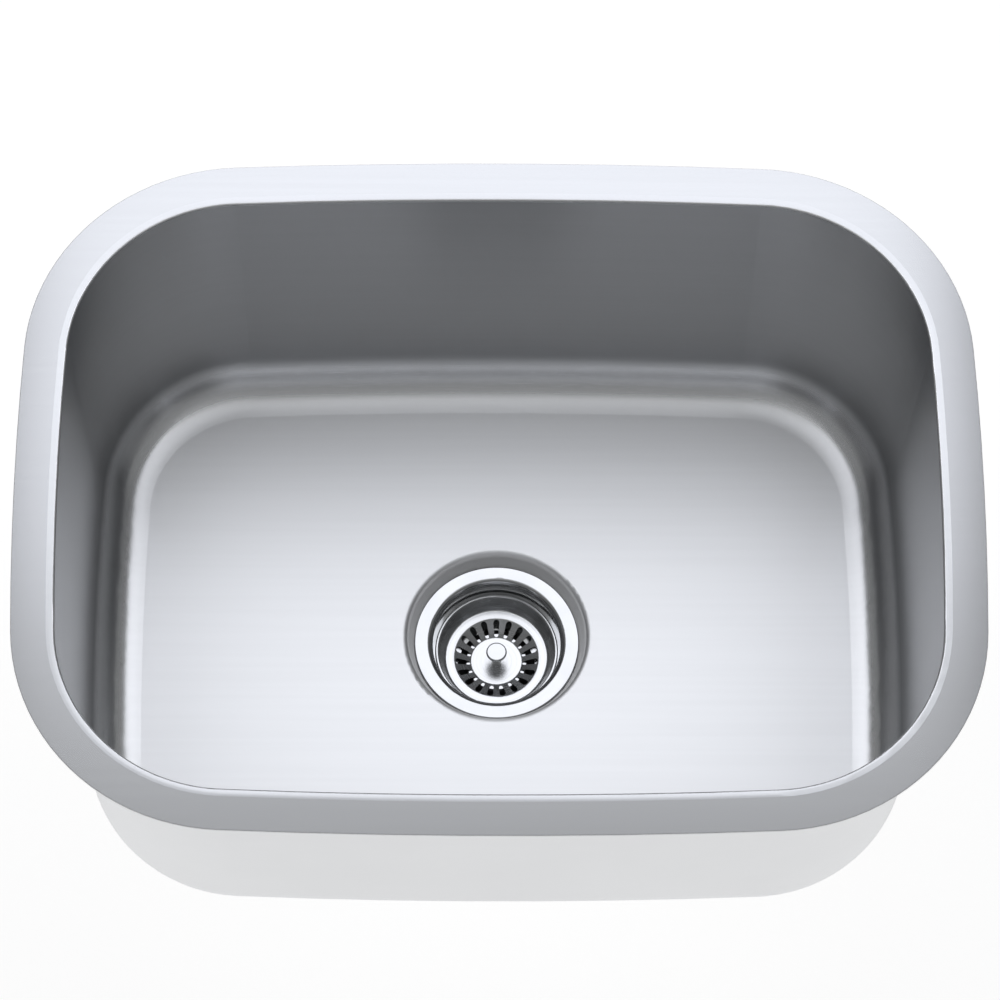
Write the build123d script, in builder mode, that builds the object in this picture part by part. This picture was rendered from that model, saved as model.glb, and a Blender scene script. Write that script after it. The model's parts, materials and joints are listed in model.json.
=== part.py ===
from build123d import *
import math
import os

# Undermount utility sink: one drawn stainless bowl, hung by its flange under a worktop,
# with a basket strainer in its floor. Millimetres. The origin is the centre of the
# flange's top face, +Z is up, +X runs along the long side and -Y faces the user.

# Sink bowl
sink_length = 590.5
sink_breadth = 451.0
bowl_depth = 228.0
sheet = 1.2
flange_width = 26.5
long_side_bow = 10.0
short_side_bow = 11.0
flange_corner_radius = 133.0
flange_edge_radius = 0.4
lip_underside_radius = 1.2
lip_roll_width = 3.6
lip_roll_drop = 0.65
lip_roll_radius = 18.0
lip_edge_radius = 1.6
wall_draft = 2.0
floor_radius = 30.0

# Drain recess in the bowl's floor
recess_margin = 4.5
recess_depth = 13.5
recess_draft = 17.0
shoulder_underside_radius = 3.3
recess_corner_radius = 1.5
drain_hole_clearance = 1.0

# Rubber sound pads glued to the outside of the bowl, with a film of glue on the curved walls
pad_thickness = 3.0
pad_glue = 0.2
pad_corner_radius = 12.0
bottom_pad_drain_gap = 24.0
bottom_pad_end_margin = 29.0
bottom_pad_side_margin = 52.0
side_pad_top = 55.0
side_pad_bottom_margin = 33.0
side_pad_end_margin = 12.0

# Strainer body: flange, cup and threaded outlet neck
gasket_thickness = 1.0
gasket_setback = 1.0
strainer_flange_width = 12.0
strainer_edge_radius = 0.6
strainer_wall = 1.5
cup_radius = 42.0
cup_lip_radius = 4.4
cup_lip_underside_radius = 1.0
ledge_width = 2.2
thread_depth = 24.0
cup_corner_radius = 4.0
cup_floor_fall = 3.0
seal_seat_width = 5.2
seal_seat_height = 3.6
neck_wall = 4.8
neck_length = 25.0

# Fixings under the sink
thread_clearance = 0.3
sealing_washer_thickness = 3.0
friction_ring_thickness = 0.8
lock_nut_wall = 7.5
lock_nut_height = 9.0
lock_nut_lug_reach = 6.0
lock_nut_lug_width = 12.0
lock_nut_lugs = 8
tailpiece_washer_thickness = 2.0
coupling_nut_wall = 4.0
coupling_nut_engagement = 14.0
coupling_nut_lip = 3.0
coupling_nut_chamfer = 2.0
pipe_radius = 19.05
pipe_clearance = 0.35
pipe_overlap = 0.25

# Crossbar in the outlet
spider_drop = 3.0
spider_height = 4.0
spider_ring_width = 1.6
spider_arm_width = 3.0
spider_arms = 4
spider_hub_wall = 2.8
spider_fit = 0.05

# Basket pressed from thin sheet
basket_sheet = 0.6
basket_clearance = 1.4
basket_rest_gap = 0.3
basket_rim_depth = 14.0
basket_rim_height = 1.9
basket_rim_width = 2.4
basket_rim_bend = 0.6
basket_wall_height = 12.0
basket_wall_inset = 4.3
shoulder_width = 6.1
basket_cone_height = 6.5
disc_radius = 16.9
basket_bend = 1.6
slot_count = 19
slot_inner_width = 2.7
slot_outer_width = 4.0
slot_disc_margin = 0.4
slot_shoulder_margin = 0.6

# Post, knob and what hangs under the basket
post_height = 13.9
post_foot_radius = 3.4
post_head_radius = 4.6
shank_radius = 2.9
shank_clearance = 0.15
knob_radius = 6.8
knob_height = 2.4
knob_edge_radius = 1.1
spigot_radius = 2.0
spigot_height = 1.4
spigot_fit = 0.05
plate_overhang = 2.9
plate_thickness = 1.0
stopper_step = 0.8
stopper_height = 6.8
stopper_lip_overhang = 1.0
stopper_lip_height = 2.4
stopper_seat_gap = 0.4
retainer_radius = 9.0
retainer_thickness = 1.2
post_nut_wall = 2.1
post_nut_height = 3.2
clip_wall = 0.95
clip_length = 8.0
clip_fit = 0.05
clip_end_play = 0.3
clip_slit_width = 0.9
clip_slit_length = 5.5
clip_slits = 2
clip_hole_clearance = 0.3
peened_head_reach = 0.6
peened_head_height = 1.0

# Radii that follow from a neighbour
cup_outside = cup_radius + strainer_wall
strainer_flange_radius = cup_radius + strainer_flange_width
gasket_radius = strainer_flange_radius - gasket_setback
drain_hole_radius = cup_outside + drain_hole_clearance
recess_radius = strainer_flange_radius + recess_margin
fixing_bore = cup_outside + thread_clearance
lower_cup_radius = cup_radius - ledge_width
lower_cup_outside = lower_cup_radius + strainer_wall
outlet_radius = pipe_radius - pipe_overlap
outlet_mouth_radius = outlet_radius + seal_seat_width
neck_radius = outlet_radius + neck_wall
neck_bore = neck_radius + thread_clearance
pipe_hole = pipe_radius + pipe_clearance
shank_hole = shank_radius + shank_clearance
clip_inside = shank_radius + clip_fit
clip_radius = clip_inside + clip_wall
hub_hole = clip_radius + clip_hole_clearance

# Heights of the strainer and of the basket that sits in it, from the top downwards
floor_z = -bowl_depth
recess_z = floor_z - recess_depth
strainer_z = recess_z + gasket_thickness + strainer_wall
rim_z = strainer_z - basket_rim_depth
rim_end_z = rim_z - basket_rim_height
ledge_z = rim_end_z - basket_rest_gap
shoulder_z = rim_z - basket_wall_height
disc_z = shoulder_z - basket_cone_height
plate_z = disc_z - basket_sheet
stopper_z = plate_z - plate_thickness
cup_floor_slope = cup_floor_fall / (lower_cup_radius - outlet_mouth_radius)
stopper_lip_z = stopper_z - stopper_height
mouth_z = stopper_lip_z - stopper_seat_gap - stopper_lip_overhang * cup_floor_slope
cup_floor_z = mouth_z + cup_floor_fall
seat_end_z = mouth_z - seal_seat_height
retainer_z = seat_end_z + stopper_seat_gap
post_nut_z = retainer_z - retainer_thickness
clip_z = post_nut_z - post_nut_height - clip_end_play
shank_end_z = clip_z - clip_length - clip_end_play
spider_z = post_nut_z - post_nut_height - spider_drop
neck_end_z = seat_end_z - neck_length

os.makedirs("parts", exist_ok=True)


def write(piece, name):
    """Label a finished piece and save it under its own name."""
    piece.part.label = name
    export_step(piece.part, f"parts/{name}.step")


def outline(inset):
    """The flange's bowed outline with rounded corners, moved inwards by inset."""
    half_length = sink_length / 2
    half_breadth = sink_breadth / 2
    corner_x = half_length - short_side_bow
    corner_y = half_breadth - long_side_bow
    with BuildSketch() as shape:
        with BuildLine():
            ThreePointArc((-corner_x, -corner_y), (0, -half_breadth), (corner_x, -corner_y))
            ThreePointArc((corner_x, -corner_y), (half_length, 0), (corner_x, corner_y))
            ThreePointArc((corner_x, corner_y), (0, half_breadth), (-corner_x, corner_y))
            ThreePointArc((-corner_x, corner_y), (-half_length, 0), (-corner_x, -corner_y))
        make_face()
        fillet(shape.vertices(), radius=flange_corner_radius)
        if inset > 0:
            offset(amount=-inset, mode=Mode.REPLACE)
    return shape.sketch


def corner(section, radius, height):
    """The corner of a half section nearest to a radius and a height."""
    return section.vertices().sort_by_distance((radius, height))[0]


def ring_edge(piece, radius, height):
    """The round edge of a piece that passes nearest to a radius and a height."""
    return piece.edges().filter_by(GeomType.CIRCLE).sort_by_distance((radius, 0, height))[0]


def bowl_form(wall_outline, grow):
    """A solid in the shape of the bowl and its drain recess, thicker all round by grow."""
    bottom_z = floor_z - grow
    recess_top = recess_radius + grow * math.tan(math.radians(45 - recess_draft / 2))
    recess_bottom = recess_top - recess_depth * math.tan(math.radians(recess_draft))
    with BuildPart() as form:
        with BuildSketch():
            add(wall_outline)
        extrude(amount=bottom_z, taper=wall_draft)
        fillet(form.faces().sort_by(Axis.Z)[0].edges(), radius=floor_radius + grow)
        with BuildSketch(Plane.XY.offset(bottom_z)):
            Circle(recess_top)
        extrude(amount=-recess_depth, taper=recess_draft)
        fillet(ring_edge(form, recess_bottom, recess_z - grow), radius=recess_corner_radius + grow)
        fillet(ring_edge(form, recess_top, bottom_z), radius=shoulder_underside_radius + sheet - grow)
    return form.part


flange_outline = outline(0)
bowl_outside = bowl_form(outline(flange_width - sheet), sheet)
bowl_hollow = bowl_form(outline(flange_width), 0)

# Sink bowl: the flange and the outside of the bowl, then its hollow and its drain hole
with BuildPart() as sink_bowl:
    with BuildSketch():
        add(flange_outline)
    extrude(amount=-sheet)
    add(bowl_outside)
    flange_underside = sink_bowl.faces().filter_by(Plane.XY).sort_by(Axis.Z)[2]
    fillet(flange_underside.inner_wires()[0].edges(), radius=lip_underside_radius)
    add(bowl_hollow, mode=Mode.SUBTRACT)
    with BuildSketch(Plane.XY.offset(recess_z)):
        Circle(drain_hole_radius)
    extrude(amount=-sheet, mode=Mode.SUBTRACT)
    flange_top = sink_bowl.faces().sort_by(Axis.Z)[-1]
    chamfer(
        flange_top.inner_wires()[0].edges(),
        length=lip_roll_width,
        length2=lip_roll_drop,
        reference=flange_top,
    )
    lip_edges = sink_bowl.edges().filter_by_position(Axis.Z, -lip_roll_drop - 0.1, -lip_roll_drop + 0.1)
    fillet(lip_edges, radius=lip_edge_radius)
    flange_top = sink_bowl.faces().sort_by(Axis.Z)[-1]
    fillet(flange_top.inner_wires()[0].edges(), radius=lip_roll_radius)
    flange_top = sink_bowl.faces().sort_by(Axis.Z)[-1]
    fillet(flange_top.outer_wire().edges(), radius=flange_edge_radius)
write(sink_bowl, "sink_bowl")

# Bottom sound pads, one on each side of the drain, on the level part of the floor
floor_inset = flange_width + bowl_depth * math.tan(math.radians(wall_draft)) + floor_radius
bottom_pad_start = recess_radius + bottom_pad_drain_gap
bottom_pad_end = sink_length / 2 - floor_inset - bottom_pad_end_margin
bottom_pad_breadth = sink_breadth - 2 * (floor_inset + bottom_pad_side_margin)
for side, name in ((-1, "bottom_pad_left"), (1, "bottom_pad_right")):
    pad_centre = side * (bottom_pad_start + bottom_pad_end) / 2
    with BuildPart() as bottom_pad:
        with BuildSketch(Plane((pad_centre, 0, floor_z - sheet))):
            RectangleRounded(bottom_pad_end - bottom_pad_start, bottom_pad_breadth, pad_corner_radius)
        extrude(amount=-pad_thickness)
    write(bottom_pad, name)

# Side sound pads, each a patch of a shell that fits the drafted, bowed wall
pad_back = flange_width - sheet - pad_glue
pad_back_outline = outline(pad_back)
pad_outline = outline(pad_back - pad_thickness)
side_pad_height = bowl_depth - floor_radius - side_pad_bottom_margin - side_pad_top
side_pad_z = -side_pad_top - side_pad_height / 2
side_pad_length = sink_breadth - 2 * (flange_corner_radius + side_pad_end_margin)
for side, name in ((-1, "left_pad"), (1, "right_pad")):
    with BuildPart() as side_pad:
        with BuildSketch():
            add(pad_outline)
        extrude(amount=floor_z, taper=wall_draft)
        with BuildSketch():
            add(pad_back_outline)
        extrude(amount=floor_z, taper=wall_draft, mode=Mode.SUBTRACT)
        with BuildSketch(Plane(origin=(0, 0, side_pad_z), x_dir=(0, side, 0), z_dir=(side, 0, 0))):
            RectangleRounded(side_pad_length, side_pad_height, pad_corner_radius)
        extrude(amount=sink_length, mode=Mode.INTERSECT)
    write(side_pad, name)

# Strainer body: flange, cup with the basket's ledge, sealing seat and threaded neck
thread_end_z = strainer_z - thread_depth
thread_step = cup_outside - lower_cup_outside
flange_bottom_z = strainer_z - strainer_wall
cup_bottom_z = cup_floor_z - strainer_wall
with BuildPart() as strainer_body:
    with BuildSketch(Plane.XZ) as section:
        with BuildLine():
            Polyline(
                (strainer_flange_radius, flange_bottom_z),
                (strainer_flange_radius, strainer_z),
                (cup_radius, strainer_z),
                (cup_radius, ledge_z),
                (lower_cup_radius, ledge_z),
                (lower_cup_radius, cup_floor_z),
                (outlet_mouth_radius, mouth_z),
                (outlet_radius, seat_end_z),
                (outlet_radius, neck_end_z),
                (neck_radius, neck_end_z),
                (neck_radius, mouth_z - strainer_wall),
                (lower_cup_outside, cup_bottom_z),
                (lower_cup_outside, thread_end_z - thread_step),
                (cup_outside, thread_end_z),
                (cup_outside, flange_bottom_z),
                close=True,
            )
        make_face()
        fillet(corner(section, cup_radius, strainer_z), radius=cup_lip_radius)
        fillet(corner(section, cup_outside, flange_bottom_z), radius=cup_lip_underside_radius)
        fillet(corner(section, strainer_flange_radius, strainer_z), radius=strainer_edge_radius)
        fillet(corner(section, lower_cup_radius, cup_floor_z), radius=cup_corner_radius)
        fillet(
            corner(section, lower_cup_outside, cup_bottom_z),
            radius=cup_corner_radius + strainer_wall,
        )
    revolve(axis=Axis.Z)
write(strainer_body, "strainer_body")

# Crossbar pressed into the outlet: a ring, arms and the hub that guides the basket's clip
spider_radius = outlet_radius - spider_fit
with BuildPart() as outlet_spider:
    with BuildSketch(Plane.XY.offset(spider_z)):
        Circle(spider_radius)
        Circle(spider_radius - spider_ring_width, mode=Mode.SUBTRACT)
        with PolarLocations(0, spider_arms):
            Rectangle(
                spider_radius - spider_ring_width / 2,
                spider_arm_width,
                align=(Align.MIN, Align.CENTER),
            )
        Circle(hub_hole + spider_hub_wall)
        Circle(hub_hole, mode=Mode.SUBTRACT)
    extrude(amount=-spider_height)
write(outlet_spider, "outlet_spider")


def write_washer(name, inside, outside, top_z, thickness):
    """Make and save a flat ring that hangs down from top_z."""
    with BuildPart() as ring:
        with BuildSketch(Plane.XY.offset(top_z)):
            Circle(outside)
            Circle(inside, mode=Mode.SUBTRACT)
        extrude(amount=-thickness)
    write(ring, name)


# Seals that clamp the strainer to the bowl, from its flange downwards
sealing_washer_z = recess_z - sheet
friction_ring_z = sealing_washer_z - sealing_washer_thickness
lock_nut_z = friction_ring_z - friction_ring_thickness
write_washer("flange_gasket", drain_hole_radius, gasket_radius, flange_bottom_z, gasket_thickness)
write_washer("sealing_washer", fixing_bore, gasket_radius, sealing_washer_z, sealing_washer_thickness)
write_washer("friction_ring", fixing_bore, gasket_radius, friction_ring_z, friction_ring_thickness)

# Lock nut with lugs for a spanner
lock_nut_radius = fixing_bore + lock_nut_wall
with BuildPart() as lock_nut:
    with BuildSketch(Plane.XY.offset(lock_nut_z)):
        Circle(lock_nut_radius)
        with PolarLocations(0, lock_nut_lugs):
            Rectangle(
                lock_nut_radius + lock_nut_lug_reach,
                lock_nut_lug_width,
                align=(Align.MIN, Align.CENTER),
            )
        Circle(fixing_bore, mode=Mode.SUBTRACT)
    extrude(amount=-lock_nut_height)
write(lock_nut, "lock_nut")

# Coupling nut and washer that hold a waste pipe against the neck
lip_z = neck_end_z - tailpiece_washer_thickness
nut_top_z = neck_end_z + coupling_nut_engagement
nut_plane = Plane.XY.offset(nut_top_z)
write_washer("tailpiece_washer", outlet_radius, neck_radius, neck_end_z, tailpiece_washer_thickness)
with BuildPart() as coupling_nut:
    with BuildSketch(nut_plane):
        RegularPolygon(neck_bore + coupling_nut_wall, 6, major_radius=False)
    extrude(amount=lip_z - coupling_nut_lip - nut_top_z)
    chamfer(coupling_nut.faces().filter_by(Axis.Z).edges(), length=coupling_nut_chamfer)
    with BuildSketch(nut_plane):
        Circle(neck_bore)
    extrude(amount=lip_z - nut_top_z, mode=Mode.SUBTRACT)
    with BuildSketch(Plane.XY.offset(lip_z)):
        Circle(pipe_hole)
    extrude(amount=-coupling_nut_lip, mode=Mode.SUBTRACT)
write(coupling_nut, "coupling_nut")

# Basket: rolled rim, sloping wall, level shoulder, slotted cone and level centre disc
half_sheet = basket_sheet / 2
rim_outside = cup_radius - basket_clearance - half_sheet
rim_inside = rim_outside - basket_rim_width + basket_sheet
shoulder_outside = rim_inside - basket_wall_inset
shoulder_inside = shoulder_outside - shoulder_width
slot_start = disc_radius + slot_disc_margin + slot_inner_width / 2
slot_end = shoulder_inside - slot_shoulder_margin - slot_outer_width / 2
with BuildSketch() as slot:
    with Locations((slot_start, 0)):
        Circle(slot_inner_width / 2)
    with Locations((slot_end, 0)):
        Circle(slot_outer_width / 2)
    make_hull()
with BuildPart() as basket_shell:
    with BuildSketch(Plane.XZ):
        with BuildLine():
            FilletPolyline(
                (rim_outside, rim_end_z + half_sheet),
                (rim_outside, rim_z - half_sheet),
                (rim_inside, rim_z - half_sheet),
                (rim_inside, rim_end_z),
                (shoulder_outside, shoulder_z - half_sheet),
                (shoulder_inside, shoulder_z - half_sheet),
                (disc_radius, disc_z - half_sheet),
                (shank_radius, disc_z - half_sheet),
                radius=(basket_rim_bend, basket_rim_bend, basket_bend, basket_bend, basket_bend, basket_bend),
            )
            offset(amount=half_sheet)
        make_face()
    revolve(axis=Axis.Z)
    with BuildSketch(Plane.XY.offset(shoulder_z)):
        with PolarLocations(0, slot_count, start_angle=90):
            add(slot.sketch)
    extrude(amount=plate_z - shoulder_z, mode=Mode.SUBTRACT)
    with BuildSketch(Plane.XY.offset(disc_z)):
        Circle(shank_hole)
    extrude(amount=-basket_sheet, mode=Mode.SUBTRACT)
write(basket_shell, "basket_shell")

# Post: a tapered grip above the disc, a shank through it and a peened end that keeps the clip on
post_top_z = disc_z + post_height
with BuildPart() as basket_post:
    with BuildSketch(Plane.XZ):
        with BuildLine():
            Polyline(
                (0, post_top_z + spigot_height),
                (spigot_radius, post_top_z + spigot_height),
                (spigot_radius, post_top_z),
                (post_head_radius, post_top_z),
                (post_foot_radius, disc_z),
                (shank_radius, disc_z),
                (shank_radius, shank_end_z),
                (shank_radius + peened_head_reach, shank_end_z),
                (shank_radius + peened_head_reach, shank_end_z - peened_head_height),
                (0, shank_end_z - peened_head_height),
                close=True,
            )
        make_face()
    revolve(axis=Axis.Z)
write(basket_post, "basket_post")

# Knob: a flat cap with a rounded edge, pressed on the post's spigot
with BuildPart() as basket_knob:
    with BuildSketch(Plane.XY.offset(post_top_z)):
        Circle(knob_radius)
    extrude(amount=knob_height)
    fillet(basket_knob.edges().filter_by(GeomType.CIRCLE), radius=knob_edge_radius)
    with BuildSketch(Plane.XY.offset(post_top_z)):
        Circle(spigot_radius + spigot_fit)
    extrude(amount=spigot_height + spigot_fit, mode=Mode.SUBTRACT)
write(basket_knob, "basket_knob")

# Plate that backs the stopper, and the retainer under it
write_washer("backing_plate", shank_hole, disc_radius + plate_overhang, plate_z, plate_thickness)
write_washer("seal_retainer", shank_hole, retainer_radius, retainer_z, retainer_thickness)

# Rubber stopper: its cone closes on the sealing seat and its lip overlaps the cup's floor
stopper_top_radius = disc_radius + plate_overhang + stopper_step
stopper_lip_radius = outlet_mouth_radius + stopper_lip_overhang
with BuildPart() as stopper_seal:
    with BuildSketch(Plane.XZ):
        with BuildLine():
            Polyline(
                (shank_hole, stopper_z),
                (stopper_top_radius, stopper_z),
                (stopper_lip_radius, stopper_lip_z + stopper_lip_height),
                (stopper_lip_radius, stopper_lip_z),
                (outlet_mouth_radius, mouth_z + stopper_seat_gap),
                (outlet_radius, seat_end_z + stopper_seat_gap),
                (shank_hole, seat_end_z + stopper_seat_gap),
                close=True,
            )
        make_face()
    revolve(axis=Axis.Z)
write(stopper_seal, "stopper_seal")

# Hexagon nut that clamps the retainer, the stopper and the plate to the basket
with BuildPart() as post_nut:
    with BuildSketch(Plane.XY.offset(post_nut_z)):
        RegularPolygon(shank_hole + post_nut_wall, 6, major_radius=False)
        Circle(shank_hole, mode=Mode.SUBTRACT)
    extrude(amount=-post_nut_height)
write(post_nut, "post_nut")

# Spring clip: a sleeve on the shank, slit into fingers that grip the crossbar's hub
with BuildPart() as post_clip:
    with BuildSketch(Plane.XY.offset(clip_z)):
        Circle(clip_radius)
        Circle(clip_inside, mode=Mode.SUBTRACT)
    extrude(amount=-clip_length)
    with BuildSketch(Plane.XY.offset(clip_z - clip_length)):
        with PolarLocations(0, clip_slits, angular_range=180):
            Rectangle(2 * clip_radius, clip_slit_width)
    extrude(amount=clip_slit_length, mode=Mode.SUBTRACT)
write(post_clip, "post_clip")
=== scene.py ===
import json
import math

import bmesh
import bpy
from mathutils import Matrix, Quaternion, Vector


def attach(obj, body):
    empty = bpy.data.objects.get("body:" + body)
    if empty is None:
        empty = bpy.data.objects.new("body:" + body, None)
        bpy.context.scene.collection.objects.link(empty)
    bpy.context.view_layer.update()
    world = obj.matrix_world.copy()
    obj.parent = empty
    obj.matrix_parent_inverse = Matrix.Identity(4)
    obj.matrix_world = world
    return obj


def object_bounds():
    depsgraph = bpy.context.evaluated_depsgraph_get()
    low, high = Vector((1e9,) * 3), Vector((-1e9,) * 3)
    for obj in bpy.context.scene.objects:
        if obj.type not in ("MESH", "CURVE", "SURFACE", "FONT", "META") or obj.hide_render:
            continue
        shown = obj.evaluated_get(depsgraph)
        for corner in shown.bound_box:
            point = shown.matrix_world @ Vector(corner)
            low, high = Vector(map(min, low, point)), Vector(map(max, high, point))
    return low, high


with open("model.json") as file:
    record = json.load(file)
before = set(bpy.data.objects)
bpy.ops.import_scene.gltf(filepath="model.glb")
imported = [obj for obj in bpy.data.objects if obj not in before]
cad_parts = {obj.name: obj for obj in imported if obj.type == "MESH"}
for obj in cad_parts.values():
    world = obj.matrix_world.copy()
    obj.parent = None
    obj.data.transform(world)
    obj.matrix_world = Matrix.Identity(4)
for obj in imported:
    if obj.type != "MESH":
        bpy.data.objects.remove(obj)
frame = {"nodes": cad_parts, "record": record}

# Undermount utility sink: finishes, threads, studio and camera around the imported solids.
# Metres, with the origin at the centre of the flange's top face and +Z up. The drain's axis
# is the Z axis.

cad_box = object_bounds()
nodes = frame["nodes"]

# Camera
view_distance = 2.667
view_elevation = math.radians(65.03)
view_turn = math.radians(-1.03)
view_roll = math.radians(1.06)
view_aim = Vector((0.0003, -0.0083, 0))
sensor_width = 36.0
focal_length = 158.1

# Floor: near white to the eye and in reflections, but it sends little light back
floor_reach = 30.0
floor_segments = 64
floor_glow = 0.9
floor_albedo = 0.25

# Light: four level panels in a row over the sink, from front to back, and the world
panel_height = 0.7
panel_left = -0.385
panel_right = 0.38
panel_front = -0.3
panel_near = -0.02
panel_mid = 0.2
panel_back = 0.6
panel_end = 1.1
front_radiance = 0.1
near_radiance = 0.53
mid_radiance = 1.7
back_radiance = 1.6
world_level = 0.22
main_colour = (0.97, 0.99, 1.055)
fill_colour = (0.985, 1.0, 1.01)

# Colour and roughness of the drawn bowl in each of its zones. The roughness is the finish.
# The colours are painted light and shade on one steel sheet: the walls are painted darker,
# and the bends, floor, recess and outside are painted lighter, for how the light falls there.
wall_painted_shade = (0.45, 0.455, 0.465, 1)
bend_painted_sheen = (0.9, 0.905, 0.915, 1)
floor_painted_sheen = (0.94, 0.945, 0.955, 1)
recess_painted_sheen = (0.98, 0.98, 0.98, 1)
flange_colour = (0.5, 0.505, 0.515, 1)
outside_painted_sheen = (0.87, 0.875, 0.885, 1)
wall_roughness = 0.3
bend_roughness = 0.27
floor_roughness = 0.42
recess_roughness = 1.0
flange_roughness = 0.24
outside_roughness = 0.42
satin_anisotropy = 0.7

# Ends of those zones: by tilt, where 0 is upright and 1 is level
bend_start = 0.1
bend_full = 0.5
level_start = 0.88
level_full = 0.9995
inside_blend = 0.012

# by height, and by distance from the drain's axis
flange_start = -0.008
flange_full = -0.001
drain_start = 0.072
drain_full = 0.067
recess_start = 0.0622
recess_full = 0.057

# Brush marks: along the long side on level faces, round the bowl on upright ones
mark_turn_start = 0.6
mark_turn_full = 0.99
mark_stretch = 4.0
mark_count = 260.0
fine_mark_scale = 9.0
broad_mark_scale = 0.9
mark_roughness = 0.01
mark_relief = 0.03
satin_shade = 0.01
mottle_scale = 14.0
mottle_detail = 4.0

# Turned and pressed metal
ring_scale = 900.0
ring_drift = 12.0
ring_relief = 0.04
smudge_scale = 60.0
smudge_detail = 3.0
smudge_share = 0.5
turned_shade_high = 1.02

# Brass
brass_colour = (0.7, 0.52, 0.26, 1)
tarnish_scale = 55.0
tarnish_detail = 5.0
tarnish_shade = 0.72
bright_shade = 1.05
tarnish_roughness = 0.5
bright_roughness = 0.3
pit_scale = 900.0
pit_relief = 0.18
pit_depth = 0.00012

# Rubber, plastic and fibre
cloud_scale = 35.0
cloud_detail = 4.0
grain_detail = 3.0
grain_share = 0.4
grain_roughness = 0.08
soft_shade_high = 1.1

# Shared by all finishes
noise_low = 0.25
noise_high = 0.75
tool_depth = 0.00002

# Threads on the strainer, as ridges that stand off the plain cylinders. The half widths of a
# ridge's crest and foot are in pitches.
thread_pitch = 0.0022
thread_rise = 0.00025
thread_sink = 0.00005
thread_crest = 0.06
thread_foot = 0.42
thread_steps = 72
cup_thread_radius = 0.0435
cup_thread_low = -0.2612
cup_thread_high = -0.2468
neck_thread_radius = 0.0236
neck_thread_low = -0.308
neck_thread_high = -0.286


def new_material(name):
    """A node material with its tree and its main shader."""
    material = bpy.data.materials.new(name)
    material.use_nodes = True
    tree = material.node_tree
    return material, tree, tree.nodes["Principled BSDF"]


def add_node(tree, kind, inputs=None, **settings):
    """A node with its settings, and with sockets given as values or as links."""
    made = tree.nodes.new(kind)
    for key, value in settings.items():
        setattr(made, key, value)
    for key, value in (inputs or {}).items():
        if isinstance(value, bpy.types.NodeSocket):
            tree.links.new(value, made.inputs[key])
        else:
            made.inputs[key].default_value = value
    return made


def calc(tree, operation, first, second=0.0):
    """One sum on two values or sockets."""
    made = add_node(tree, "ShaderNodeMath", {0: first, 1: second}, operation=operation)
    return made.outputs[0]


def combine(tree, x=0.0, y=0.0, z=0.0):
    """A vector from its three parts."""
    return add_node(tree, "ShaderNodeCombineXYZ", {0: x, 1: y, 2: z}).outputs[0]


def cross(tree, first, second):
    """The direction at right angles to two others."""
    inputs = {0: first, 1: second}
    made = add_node(tree, "ShaderNodeVectorMath", inputs, operation="CROSS_PRODUCT")
    return made.outputs["Vector"]


def axis_distance(tree, at):
    """How far a point lies from the drain's axis."""
    flat = combine(tree, at.outputs["X"], at.outputs["Y"])
    made = add_node(tree, "ShaderNodeVectorMath", {0: flat}, operation="LENGTH")
    return made.outputs["Value"]


def remap(tree, value, low, high, to_low=0.0, to_high=1.0):
    """A value carried smoothly from one range to another and held at its ends."""
    inputs = {
        "Value": value, "From Min": low, "From Max": high, "To Min": to_low, "To Max": to_high,
    }
    made = add_node(tree, "ShaderNodeMapRange", inputs, interpolation_type="SMOOTHSTEP")
    return made.outputs["Result"]


def spread(tree, value, to_low, to_high):
    """The middle range of a noise, carried to another range."""
    return remap(tree, value, noise_low, noise_high, to_low, to_high)


def blend(tree, share, first, second):
    """A mix of two values, or of two colours when the second is one."""
    if isinstance(second, tuple) or getattr(second, "type", "") == "RGBA":
        inputs = {0: share, 6: first, 7: second}
        return add_node(tree, "ShaderNodeMix", inputs, data_type="RGBA").outputs[2]
    inputs = {0: share, 2: first, 3: second}
    return add_node(tree, "ShaderNodeMix", inputs, data_type="FLOAT").outputs[0]


def noise(tree, vector, scale, detail=2.0):
    """Even noise between 0 and 1, mostly near the middle."""
    inputs = {"Vector": vector, "Scale": scale, "Detail": detail}
    return add_node(tree, "ShaderNodeTexNoise", inputs).outputs["Fac"]


def tinted(tree, shader, colour, value, low, high):
    """Colours the shader between a darker and a lighter shade of one colour."""
    shade = spread(tree, value, low, high)
    grey = add_node(tree, "ShaderNodeCombineColor", {0: shade, 1: shade, 2: shade}).outputs[0]
    inputs = {0: 1.0, 6: colour, 7: grey}
    mixed = add_node(tree, "ShaderNodeMix", inputs, data_type="RGBA", blend_type="MULTIPLY")
    tree.links.new(mixed.outputs[2], shader.inputs["Base Color"])


def bumped(tree, shader, height, strength, distance):
    """Gives the shader a fine relief."""
    inputs = {"Height": height, "Strength": strength, "Distance": distance}
    relief = add_node(tree, "ShaderNodeBump", inputs)
    tree.links.new(relief.outputs[0], shader.inputs["Normal"])


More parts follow.
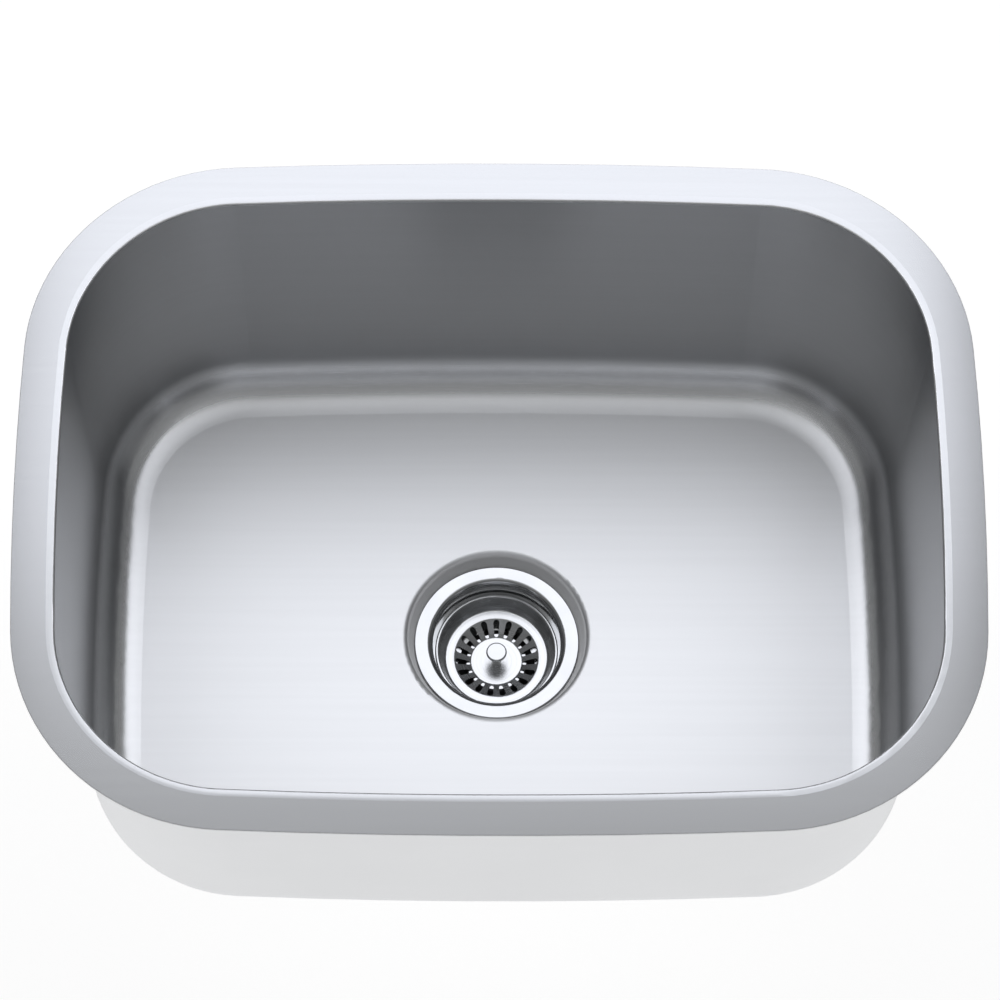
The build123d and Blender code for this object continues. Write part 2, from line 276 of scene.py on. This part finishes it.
def make_satin_steel():
    """Brushed sheet, with its own roughness on wall, bend, floor, recess, flange and outside, and
    painted shade and sheen in its colour there.
    """
    material, tree, shader = new_material("satin_steel")
    place = add_node(tree, "ShaderNodeTexCoord")
    normal = place.outputs["Normal"]
    at = add_node(tree, "ShaderNodeSeparateXYZ", {0: place.outputs["Object"]})
    facing = add_node(tree, "ShaderNodeSeparateXYZ", {0: normal})
    tilt = calc(tree, "ABSOLUTE", facing.outputs["Z"])
    reach = axis_distance(tree, at)

    # Share of each zone. Round the drain, slopes have the roughness and painted sheen of the
    # level faces.
    inside = remap(tree, facing.outputs["Z"], -inside_blend, inside_blend)
    bend = remap(tree, tilt, bend_start, bend_full)
    flat_face = remap(tree, tilt, level_start, level_full)
    near_drain = remap(tree, reach, drain_start, drain_full)
    level = calc(tree, "MAXIMUM", flat_face, near_drain)
    recess = remap(tree, reach, recess_start, recess_full)
    flange = remap(tree, at.outputs["Z"], flange_start, flange_full)

    # Brush marks
    mark_turn = remap(tree, tilt, mark_turn_start, mark_turn_full)
    mark_place = combine(
        tree,
        calc(tree, "MULTIPLY", at.outputs["X"], mark_stretch),
        calc(tree, "MULTIPLY", at.outputs["Y"], blend(tree, mark_turn, mark_stretch, mark_count)),
        calc(tree, "MULTIPLY", at.outputs["Z"], mark_count),
    )
    fine_marks = noise(tree, mark_place, fine_mark_scale)
    broad_marks = noise(tree, mark_place, broad_mark_scale)
    mottle = noise(tree, place.outputs["Object"], mottle_scale, mottle_detail)

    deep_roughness = blend(tree, recess, floor_roughness, recess_roughness)
    level_roughness = blend(tree, flange, deep_roughness, flange_roughness)
    side_roughness = blend(tree, bend, wall_roughness, bend_roughness)
    inside_roughness = blend(tree, level, side_roughness, level_roughness)
    roughness = blend(tree, inside, outside_roughness, inside_roughness)
    uneven = calc(tree, "MULTIPLY", calc(tree, "SUBTRACT", fine_marks, 0.5), 2 * mark_roughness)
    tree.links.new(calc(tree, "ADD", roughness, uneven), shader.inputs["Roughness"])

    # Painted light and shade: darker walls, lighter bends, floor, recess and outside.
    deep_colour = blend(tree, recess, floor_painted_sheen, recess_painted_sheen)
    level_colour = blend(tree, flange, deep_colour, flange_colour)
    side_colour = blend(tree, bend, wall_painted_shade, bend_painted_sheen)
    inside_colour = blend(tree, level, side_colour, level_colour)
    colour = blend(tree, inside, outside_painted_sheen, inside_colour)
    shade = blend(tree, inside, mottle, broad_marks)
    tinted(tree, shader, colour, shade, 1 - satin_shade, 1 + satin_shade)

    # The sheen spreads across the brush marks.
    mark_plane = combine(tree, y=mark_turn, z=calc(tree, "SUBTRACT", 1.0, mark_turn))
    mark_run = cross(tree, normal, mark_plane)
    tree.links.new(cross(tree, normal, mark_run), shader.inputs["Tangent"])
    shader.inputs["Anisotropic"].default_value = satin_anisotropy
    shader.inputs["Metallic"].default_value = 1.0
    bumped(tree, shader, fine_marks, mark_relief, tool_depth)
    return material


def make_turned_metal(name, colour, roughness, roughness_spread, shade_low):
    """Metal turned or pressed round the drain's axis, with faint rings from the tool."""
    material, tree, shader = new_material(name)
    place = add_node(tree, "ShaderNodeTexCoord")
    at = add_node(tree, "ShaderNodeSeparateXYZ", {0: place.outputs["Object"]})
    ring_place = combine(
        tree,
        calc(tree, "MULTIPLY", axis_distance(tree, at), ring_scale),
        calc(tree, "MULTIPLY", at.outputs["Z"], ring_scale),
        calc(tree, "MULTIPLY", at.outputs["X"], ring_drift),
    )
    rings = noise(tree, ring_place, 1.0)
    smudge = noise(tree, place.outputs["Object"], smudge_scale, smudge_detail)
    uneven = blend(tree, smudge_share, rings, smudge)
    polish = spread(tree, uneven, roughness - roughness_spread, roughness + roughness_spread)
    tree.links.new(polish, shader.inputs["Roughness"])
    tinted(tree, shader, colour, smudge, shade_low, turned_shade_high)
    shader.inputs["Metallic"].default_value = 1.0
    bumped(tree, shader, rings, ring_relief, tool_depth)
    return material


def make_brass():
    """Cast and turned brass, a little tarnished and pitted."""
    material, tree, shader = new_material("plain_brass")
    place = add_node(tree, "ShaderNodeTexCoord").outputs["Object"]
    tarnish = noise(tree, place, tarnish_scale, tarnish_detail)
    pits = noise(tree, place, pit_scale)
    tinted(tree, shader, brass_colour, tarnish, tarnish_shade, bright_shade)
    polish = spread(tree, tarnish, tarnish_roughness, bright_roughness)
    tree.links.new(polish, shader.inputs["Roughness"])
    shader.inputs["Metallic"].default_value = 1.0
    bumped(tree, shader, pits, pit_relief, pit_depth)
    return material


def make_soft(name, colour, roughness, grain_scale, relief, depth, shade_low):
    """Rubber, plastic or fibre: matt, with its own grain and slight changes of shade."""
    material, tree, shader = new_material(name)
    place = add_node(tree, "ShaderNodeTexCoord").outputs["Object"]
    cloud = noise(tree, place, cloud_scale, cloud_detail)
    grain = noise(tree, place, grain_scale, grain_detail)
    shade = blend(tree, grain_share, cloud, grain)
    tinted(tree, shader, colour, shade, shade_low, soft_shade_high)
    matt = spread(tree, grain, roughness + grain_roughness, roughness - grain_roughness)
    tree.links.new(matt, shader.inputs["Roughness"])
    bumped(tree, shader, grain, relief, depth)
    return material


finishes = {
    "brushed_stainless": make_satin_steel(),
    "polished_stainless": make_turned_metal(
        "polished_steel", colour=(0.51, 0.515, 0.52, 1),
        roughness=0.11, roughness_spread=0.025, shade_low=0.96,
    ),
    "spring_steel": make_turned_metal(
        "spring_strip", colour=(0.5, 0.5, 0.52, 1),
        roughness=0.32, roughness_spread=0.06, shade_low=0.9,
    ),
    "nut_brass": make_brass(),
    "pad_rubber": make_soft(
        "sound_pad", colour=(0.075, 0.075, 0.08, 1), roughness=0.85,
        grain_scale=700.0, relief=0.5, depth=0.0004, shade_low=0.75,
    ),
    "seal_rubber": make_soft(
        "black_rubber", colour=(0.025, 0.025, 0.025, 1), roughness=0.5,
        grain_scale=1500.0, relief=0.2, depth=0.0001, shade_low=0.8,
    ),
    "seal_plastic": make_soft(
        "pale_plastic", colour=(0.78, 0.78, 0.75, 1), roughness=0.45,
        grain_scale=1200.0, relief=0.1, depth=0.00005, shade_low=0.94,
    ),
    "fibre": make_soft(
        "fibre_ring", colour=(0.4, 0.28, 0.18, 1), roughness=0.88,
        grain_scale=2600.0, relief=0.45, depth=0.0002, shade_low=0.7,
    ),
}
# The basket is pressed from thin sheet and is less bright than the turned strainer.
own_finishes = {
    "basket_shell": make_turned_metal(
        "pressed_steel", colour=(0.6, 0.605, 0.61, 1),
        roughness=0.25, roughness_spread=0.04, shade_low=0.96,
    ),
}
for part in frame["record"]["subparts"]:
    slots = nodes[part["node"]].data.materials
    slots.clear()
    slots.append(own_finishes.get(part["node"], finishes[part["material_slot"]]))


def add_thread(name, radius, low, high):
    """A helical ridge on a cylinder of the strainer, fading out at both ends."""
    mesh = bpy.data.meshes.new(name)
    form = bmesh.new()
    turns = (high - low) / thread_pitch
    count = round(turns * thread_steps)
    section = (
        (-thread_foot, -thread_sink),
        (-thread_crest, thread_rise),
        (thread_crest, thread_rise),
        (thread_foot, -thread_sink),
    )
    rings = []
    for step in range(count + 1):
        angle = 2 * math.pi * step / thread_steps
        fade = min(1.0, step / thread_steps, (count - step) / thread_steps)
        height = low + thread_pitch * step / thread_steps
        ring = []
        for offset, rise in section:
            reach = radius + (rise * fade if rise > 0 else rise)
            ring.append(form.verts.new((
                reach * math.cos(angle), reach * math.sin(angle), height + offset * thread_pitch,
            )))
        rings.append(ring)
    for first, second in zip(rings, rings[1:]):
        for k in range(len(section) - 1):
            form.faces.new((first[k], second[k], second[k + 1], first[k + 1]))
    form.faces.new(rings[0])
    form.faces.new(rings[-1][::-1])
    bmesh.ops.recalc_face_normals(form, faces=form.faces)
    form.to_mesh(mesh)
    form.free()
    thread = bpy.data.objects.new(name, mesh)
    bpy.context.scene.collection.objects.link(thread)
    mesh.materials.append(finishes["polished_stainless"])
    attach(thread, "sink")


def add_floor():
    """A round white floor at the sink's lowest point, which keeps its shadow."""
    mesh = bpy.data.meshes.new("floor")
    form = bmesh.new()
    bmesh.ops.create_circle(form, cap_ends=True, segments=floor_segments, radius=floor_reach)
    form.to_mesh(mesh)
    form.free()
    floor = bpy.data.objects.new("floor", mesh)
    floor.location = (0, 0, cad_box[0].z)
    bpy.context.scene.collection.objects.link(floor)
    material, tree, shader = new_material("studio_floor")
    tree.nodes.remove(shader)
    path = add_node(tree, "ShaderNodeLightPath")
    seen = calc(tree, "MAXIMUM", path.outputs["Is Camera Ray"], path.outputs["Is Glossy Ray"])
    seen = calc(tree, "MAXIMUM", seen, path.outputs["Is Transmission Ray"])
    strength = calc(tree, "MULTIPLY", seen, floor_glow)
    glow = add_node(tree, "ShaderNodeEmission", {"Strength": strength})
    matt = add_node(tree, "ShaderNodeBsdfDiffuse", {"Color": (floor_albedo,) * 3 + (1,)})
    both = add_node(tree, "ShaderNodeAddShader", {0: glow.outputs[0], 1: matt.outputs[0]})
    tree.links.new(both.outputs[0], tree.nodes["Material Output"].inputs["Surface"])
    mesh.materials.append(material)


def add_panel(name, front, back, radiance, colour):
    """A soft light panel that hangs level over the sink, facing down."""
    width = panel_right - panel_left
    depth = back - front
    data = bpy.data.lights.new(name, "AREA")
    data.shape = "RECTANGLE"
    data.size = width
    data.size_y = depth
    data.energy = radiance * math.pi * width * depth
    data.color = colour
    light = bpy.data.objects.new(name, data)
    light.location = ((panel_left + panel_right) / 2, (front + back) / 2, panel_height)
    light.visible_camera = False
    bpy.context.scene.collection.objects.link(light)


def add_world():
    """Even light from all round."""
    world = bpy.data.worlds.new("studio")
    world.use_nodes = True
    background = world.node_tree.nodes["Background"]
    background.inputs["Color"].default_value = fill_colour + (1,)
    background.inputs["Strength"].default_value = world_level
    bpy.context.scene.world = world


def add_camera():
    """The photo's view."""
    back = Vector((
        math.sin(view_turn) * math.cos(view_elevation),
        -math.cos(view_turn) * math.cos(view_elevation),
        math.sin(view_elevation),
    ))
    data = bpy.data.cameras.new("camera")
    data.sensor_width = sensor_width
    data.lens = focal_length
    camera = bpy.data.objects.new("camera", data)
    camera.location = view_aim + view_distance * back
    camera.rotation_mode = "QUATERNION"
    camera.rotation_quaternion = back.to_track_quat("Z", "Y") @ Quaternion((0, 0, 1), view_roll)
    bpy.context.scene.collection.objects.link(camera)
    bpy.context.scene.camera = camera


add_thread("cup_thread", cup_thread_radius, cup_thread_low, cup_thread_high)
add_thread("neck_thread", neck_thread_radius, neck_thread_low, neck_thread_high)
add_floor()
add_panel("front_panel", panel_front, panel_near, front_radiance, fill_colour)
add_panel("near_panel", panel_near, panel_mid, near_radiance, fill_colour)
add_panel("mid_panel", panel_mid, panel_back, mid_radiance, main_colour)
add_panel("back_panel", panel_back, panel_end, back_radiance, main_colour)
add_world()
add_camera()
bpy.context.scene.view_settings.view_transform = "Standard"
